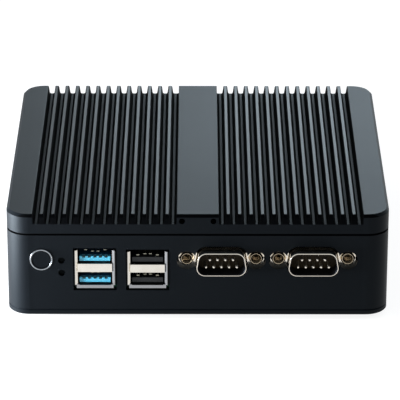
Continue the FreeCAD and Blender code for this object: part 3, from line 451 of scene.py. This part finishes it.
def makeCircuitBoard(node):
    # solder mask over copper tracks, with dark parts on its faces
    c = circuitBoard
    material, shade, shader = newFinish(node + "Mask", {})
    tracks = boardTracks(shade)
    colour = tracks.mix(c["mask"], c["trackMask"])
    gloss = (tracks - 0.5) * c["roughnessSpread"] + c["roughness"]
    if node in c["faces"]:
        low, high = c["faces"][node]
        height = place(shade, "Z")
        overTop = height.above(high + c["chipsFrom"], c["chipSoftness"])
        proud = overTop + (1 - height.above(low - c["chipsFrom"], c["chipSoftness"]))
        colour = proud.mix(colour, c["chips"])
        gloss = gloss + proud * (c["chipRoughness"] - c["roughness"])
    plug(colour, shader, "Base Color")
    plug(gloss, shader, "Roughness")
    bump(shade, shader, tracks, c["trackBump"], c["trackHeight"])
    return material


finishes = {
    "case_finish": makeCaseFinish(),
    "bare_aluminium": makeMetal("bareAluminium"),
    "plated_steel": makeMetal("platedSteel"),
    "nut_steel": makeMetal("nutSteel"),
    "polished_ring": makeMetal("polishedRing"),
    "zinc_screw": makeMetal("zincScrew"),
    "contact_gold": makeMetal("contactGold"),
    "cell_steel": makeMetal("cellSteel"),
    "blue_plastic": makePlastic("bluePlastic"),
    "black_plastic": makePlastic("blackPlastic"),
    "brown_plastic": makePlastic("brownPlastic"),
    "monitor_blue": makePlastic("monitorBlue"),
    "light_plastic": makePlastic("lightPlastic"),
    "rubber_foot": makePlastic("rubberFoot"),
    "chip_black": makePlastic("chipBlack"),
    "heat_pad": makePlastic("heatPad"),
}
socketFinish = makeMetal("socketSteel", details=[paintSocketShade])


def finishOf(node, slot):
    if slot == "circuit_board":
        return makeCircuitBoard(node)
    if node.startswith("serial") and node.endswith("_shell"):
        return makeMetal("portSteel", node, [paintPortShade])
    if node.endswith("_socket_shell"):
        return makeMetal("socketSteel", node, [paintStackShade, paintSocketShade])
    if node.endswith("_nuts"):
        return makeMetal("nutSteel", node, [paintBoreShade])
    if node.endswith("_shell"):
        return socketFinish
    return finishes[slot]


for part in frame["record"]["subparts"]:
    materials = nodes[part["node"]].data.materials
    materials.clear()
    materials.append(finishOf(part["node"], part["material_slot"]))
print("finishes on", len(nodes), "pieces")


thread = {
    "segments": 24,              # to a turn
    "ridge": 0.16 * mm,          # how far a ridge stands into its hole
    "root": 0.03 * mm,           # how far it is sunk into the wall
    "start": 0.2 * mm,           # from the mouth of the hole
    "crest": 0.4,                # where the ridge is highest, and how wide it is, in pitches
    "width": 0.8,
    "nutPitch": 0.635 * mm,
    "bushPitch": 0.7 * mm,
}


def addThread(bm, mouth, inward, radius, pitch, length):
    # a closed three-sided ridge, spun round the hole's axis and along it
    across = inward.orthogonal().normalized()
    start = mouth + inward * thread["start"]
    outer = radius + thread["root"]
    inner = radius - thread["ridge"]
    corners = [
        start + across * outer,
        start + across * inner + inward * (pitch * thread["crest"]),
        start + across * outer + inward * (pitch * thread["width"]),
    ]
    ring = [bm.verts.new(corner) for corner in corners]
    profile = bm.faces.new(ring)
    turns = (length - thread["start"] - pitch) / pitch
    steps = int(turns * thread["segments"])
    bmesh.ops.spin(
        bm, geom=ring + list(profile.edges) + [profile], cent=mouth, axis=inward,
        dvec=inward * (pitch / thread["segments"]), angle=steps * math.tau / thread["segments"],
        steps=steps, use_merge=False, use_duplicate=False)


def makeThreads(mount):
    # one piece for all the holes of a mount: a pair of nuts, or the bushes under the case
    inNuts = mount["name"].endswith("_nuts")
    node = mount["name"] if inNuts else "bracket_bushes"
    slot = "nut_steel" if inNuts else "plated_steel"
    pitch = thread["nutPitch"] if inNuts else thread["bushPitch"]
    low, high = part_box(node)
    mouth = Vector(mount["pos_m"])
    inward = -Vector(mount["axis"]).normalized()
    farSide = high if sum(inward) > 0 else low
    length = abs((farSide - mouth).dot(inward))
    dims = mount["dims"]
    halfX = dims["spacing_x_mm"] / 2 * mm
    halfY = dims.get("spacing_y_mm", 0.0) / 2 * mm
    rows = (-halfY, halfY) if halfY else (0.0,)
    bm = bmesh.new()
    for x in (-halfX, halfX):
        for y in rows:
            addThread(bm, mouth + Vector((x, y, 0)), inward, dims["hole_r_mm"] * mm, pitch, length)
    bmesh.ops.recalc_face_normals(bm, faces=bm.faces)
    mesh = bpy.data.meshes.new(mount["name"] + "_threads")
    bm.to_mesh(mesh)
    bm.free()
    mesh.materials.append(finishes[slot])
    piece = bpy.data.objects.new(mount["name"] + "_threads", mesh)
    bpy.context.scene.collection.objects.link(piece)
    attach(piece, "case")
    print("threads in", node, len(mesh.polygons), "faces")


for mount in boltPatterns:
    makeThreads(mount)


studio = {
    "floorSize": 6.0,
    "floorColour": rgb(0.80, 0.80, 0.80),
    "seenPaper": rgb(0.26, 0.26, 0.26),     # the share of the floor's light and shadow that shows
    "floorGlow": 0.87,           # what shows of the floor besides
    "white": 1.0,
    "ambient": rgb(0.47, 0.49, 0.51),
    "horizon": rgb(0.86, 0.95, 1.0),
    "ceiling": rgb(0.34, 0.36, 0.38),
    "ceilingFrom": 0.35,         # sine of the height at which the backdrop starts to dim
    "ceilingTo": 0.85,
}


def seenRays(shade):
    # 1 for camera, glossy and transmission rays, which show the floor and the backdrop
    direct = shade.node("LightPath", output="Is Camera Ray")
    mirrored = shade.node("LightPath", output="Is Glossy Ray")
    through = shade.node("LightPath", output="Is Transmission Ray")
    return shade.maths("MINIMUM", direct + mirrored + through, 1.0)


def makeFloor():
    bm = bmesh.new()
    bmesh.ops.create_grid(bm, x_segments=1, y_segments=1, size=studio["floorSize"] / 2)
    mesh = bpy.data.meshes.new("studioFloor")
    bm.to_mesh(mesh)
    bm.free()
    floor = bpy.data.objects.new("studioFloor", mesh)
    bpy.context.scene.collection.objects.link(floor)
    material = bpy.data.materials.new("paleFloor")
    material.use_nodes = True
    material.node_tree.nodes.clear()
    shade = Shade(material.node_tree)
    seen = seenRays(shade)
    paper = shade.node("BsdfDiffuse", {}, {"Color": seen.mix(studio["floorColour"], studio["seenPaper"])})
    strength = seen * (studio["floorGlow"] * studio["white"])
    glow = shade.node("Emission", {}, {"Color": rgb(1, 1, 1), "Strength": strength})
    surface = shade.node("AddShader", {}, {0: paper, 1: glow})
    shade.node("OutputMaterial", {}, {"Surface": surface})
    mesh.materials.append(material)


def makeWorld():
    world = bpy.data.worlds.new("studioWorld")
    bpy.context.scene.world = world
    world.use_nodes = True
    world.node_tree.nodes.clear()
    shade = Shade(world.node_tree)
    dim = shade.node("Background", {}, {"Color": studio["ambient"], "Strength": 1.0})
    upward = coordinate(shade, shade.node("TexCoord", output="Generated"), "Z")
    high = shade.node("MapRange", {"interpolation_type": "SMOOTHSTEP"}, {
        "Value": upward, "From Min": studio["ceilingFrom"], "From Max": studio["ceilingTo"]})
    backdrop = high.mix(studio["horizon"], studio["ceiling"])
    white = shade.node("Background", {}, {"Color": backdrop, "Strength": studio["white"]})
    surface = shade.node("MixShader", {}, {0: seenRays(shade), 1: dim, 2: white})
    shade.node("OutputWorld", {}, {"Surface": surface})


lamps = {
    # name: place, aimed at, width, height, watts, colour
    "backLow": ((0.3, 1.0, 0.35), (0, 0, 0.03), 0.8, 0.2, 5.2, (0.74, 0.89, 1.0)),
    "leftSide": ((-0.24, -0.07, 0.03), (-0.069, -0.058, 0.02), 0.04, 0.05, 3.3, (0.88, 0.94, 1.0)),
    "leftLow": ((-0.18, -0.12, 0.02), (-0.069, -0.058, 0.02), 0.03, 0.03, 0.58, (0.88, 0.94, 1.0)),
}


def makeLamps():
    for name, (spot, target, width, height, watts, colour) in lamps.items():
        light = bpy.data.lights.new(name, "AREA")
        light.shape = "RECTANGLE"
        light.size = width
        light.size_y = height
        light.energy = watts
        light.color = colour
        lamp = bpy.data.objects.new(name, light)
        lamp.visible_camera = False
        lamp.location = spot
        lamp.rotation_euler = (Vector(target) - Vector(spot)).to_track_quat("-Z", "Y").to_euler()
        bpy.context.scene.collection.objects.link(lamp)


camera = {
    "lens": 263.8,
    "sensor": 36.0,
    "place": (-0.33 * mm, -1027.2 * mm, 460.5 * mm),
    "pitch": 23.24,              # degrees downwards
    "yaw": 0.067,
    "roll": 0.095,
    "near": 0.05,
    "far": 50.0,
}


def makeCamera():
    data = bpy.data.cameras.new("studioCamera")
    data.lens = camera["lens"]
    data.sensor_width = camera["sensor"]
    data.clip_start = camera["near"]
    data.clip_end = camera["far"]
    eye = bpy.data.objects.new("studioCamera", data)
    turn = Matrix.Rotation(math.radians(-camera["yaw"]), 4, "Z")
    turn = turn @ Matrix.Rotation(math.radians(90 - camera["pitch"]), 4, "X")
    turn = turn @ Matrix.Rotation(math.radians(camera["roll"]), 4, "Z")
    eye.matrix_world = Matrix.Translation(Vector(camera["place"])) @ turn
    bpy.context.scene.collection.objects.link(eye)
    bpy.context.scene.camera = eye


makeFloor()
makeWorld()
makeLamps()
makeCamera()
bpy.context.scene.view_settings.view_transform = "Standard"
print("studio ready")
